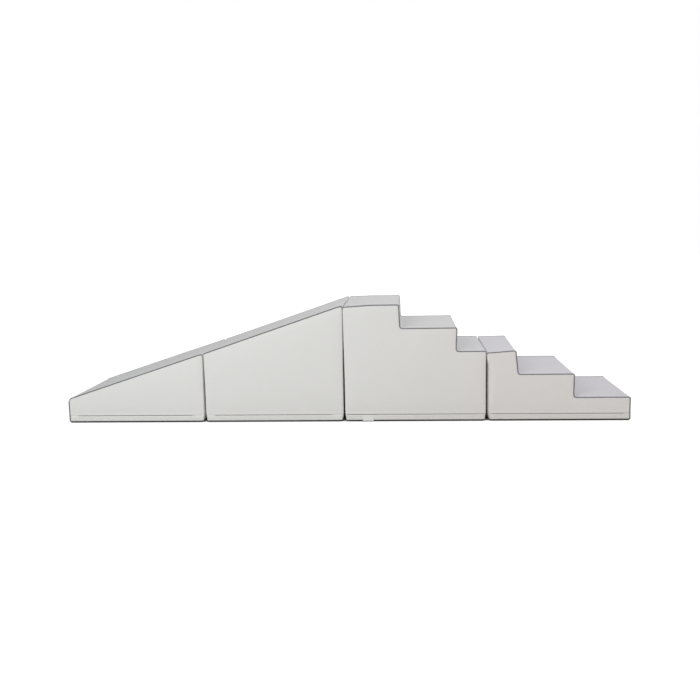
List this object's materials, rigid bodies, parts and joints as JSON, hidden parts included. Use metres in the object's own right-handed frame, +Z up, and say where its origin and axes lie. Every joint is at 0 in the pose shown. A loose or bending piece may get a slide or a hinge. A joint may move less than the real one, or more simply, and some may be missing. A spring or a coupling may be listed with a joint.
{
  "type": "foam climbing set",
  "caption": "Soft-play climbing set: foam ramp blocks rising to a top, and foam step blocks going down, in sewn artificial leather covers with piping and zips.",
  "frame": {"origin": "on the floor under the middle of the row, half-way from the foot of the ramp to the foot of the steps and half-way across its width", "axes": "+X along the row, from the foot of the ramp to the foot of the steps; +Y from the front, where the zips are, to the back; +Z up"},
  "size_m": [2.417, 0.5, 0.503],
  "materials": {
    "cover_leather": "off-white artificial leather, fine grain, satin",
    "tread_leather": "light grey artificial leather, fine grain, satin",
    "piping": "dark grey artificial leather over a cord",
    "base_fabric": "black non-slip fabric with rubber dots",
    "foam": "cream open-cell polyurethane foam",
    "zip_tape": "woven polyester tape with a nylon coil",
    "zip_metal": "cast zinc alloy, nickel look",
    "hook_strip": "grey woven hook tape",
    "loop_strip": "grey loop pile tape",
    "tab_fabric": "pale woven ribbon, blank"
  },
  "bodies": {
    "tall_steps": {"tall_steps_foam_core": "foam", "tall_steps_front_panel": "cover_leather", "tall_steps_back_panel": "cover_leather", "tall_steps_top_panel": "tread_leather", "tall_steps_base_panel": "base_fabric", "tall_steps_front_piping": "piping", "tall_steps_back_piping": "piping", "tall_steps_zip_tape": "zip_tape", "tall_steps_left_end_panel": "cover_leather", "tall_steps_left_hook_strip": "hook_strip", "tall_steps_right_end_panel": "cover_leather", "tall_steps_right_loop_strip": "loop_strip", "tall_steps_blank_tab": "tab_fabric"},
    "high_ramp": {"high_ramp_foam_core": "foam", "high_ramp_front_panel": "cover_leather", "high_ramp_back_panel": "cover_leather", "high_ramp_top_panel": "tread_leather", "high_ramp_base_panel": "base_fabric", "high_ramp_front_piping": "piping", "high_ramp_back_piping": "piping", "high_ramp_zip_tape": "zip_tape", "high_ramp_left_end_panel": "cover_leather", "high_ramp_left_hook_strip": "hook_strip", "high_ramp_right_end_panel": "cover_leather", "high_ramp_right_loop_strip": "loop_strip"},
    "low_wedge": {"low_wedge_foam_core": "foam", "low_wedge_front_panel": "cover_leather", "low_wedge_back_panel": "cover_leather", "low_wedge_top_panel": "tread_leather", "low_wedge_base_panel": "base_fabric", "low_wedge_front_piping": "piping", "low_wedge_back_piping": "piping", "low_wedge_zip_tape": "zip_tape", "low_wedge_right_end_panel": "cover_leather", "low_wedge_right_loop_strip": "loop_strip"},
    "low_steps": {"low_steps_foam_core": "foam", "low_steps_front_panel": "cover_leather", "low_steps_back_panel": "cover_leather", "low_steps_top_panel": "tread_leather", "low_steps_base_panel": "base_fabric", "low_steps_front_piping": "piping", "low_steps_back_piping": "piping", "low_steps_zip_tape": "zip_tape", "low_steps_left_end_panel": "cover_leather", "low_steps_left_hook_strip": "hook_strip"},
    "low_wedge_zip_slider_body": {"low_wedge_zip_slider": "zip_metal"},
    "high_ramp_zip_slider_body": {"high_ramp_zip_slider": "zip_metal"},
    "tall_steps_zip_slider_body": {"tall_steps_zip_slider": "zip_metal"},
    "low_steps_zip_slider_body": {"low_steps_zip_slider": "zip_metal"}
  },
  "joints": [
    {"name": "high_ramp_pull_away", "type": "slide", "parent": "tall_steps", "child": "high_ramp", "axis": [-1, 0, 0], "range_m": [0, 0.4]},
    {"name": "low_wedge_pull_away", "type": "slide", "parent": "high_ramp", "child": "low_wedge", "axis": [-1, 0, 0], "range_m": [0, 0.4]},
    {"name": "low_steps_pull_away", "type": "slide", "parent": "tall_steps", "child": "low_steps", "axis": [1, 0, 0], "range_m": [0, 0.4]},
    {"name": "low_wedge_zip_run", "type": "slide", "parent": "low_wedge", "child": "low_wedge_zip_slider_body", "axis": [-1, 0, 0], "range_m": [0, 0.5]},
    {"name": "high_ramp_zip_run", "type": "slide", "parent": "high_ramp", "child": "high_ramp_zip_slider_body", "axis": [-1, 0, 0], "range_m": [0, 0.5]},
    {"name": "tall_steps_zip_run", "type": "slide", "parent": "tall_steps", "child": "tall_steps_zip_slider_body", "axis": [-1, 0, 0], "range_m": [0, 0.556]},
    {"name": "low_steps_zip_run", "type": "slide", "parent": "low_steps", "child": "low_steps_zip_slider_body", "axis": [-1, 0, 0], "range_m": [0, 0.556]}
  ]
}
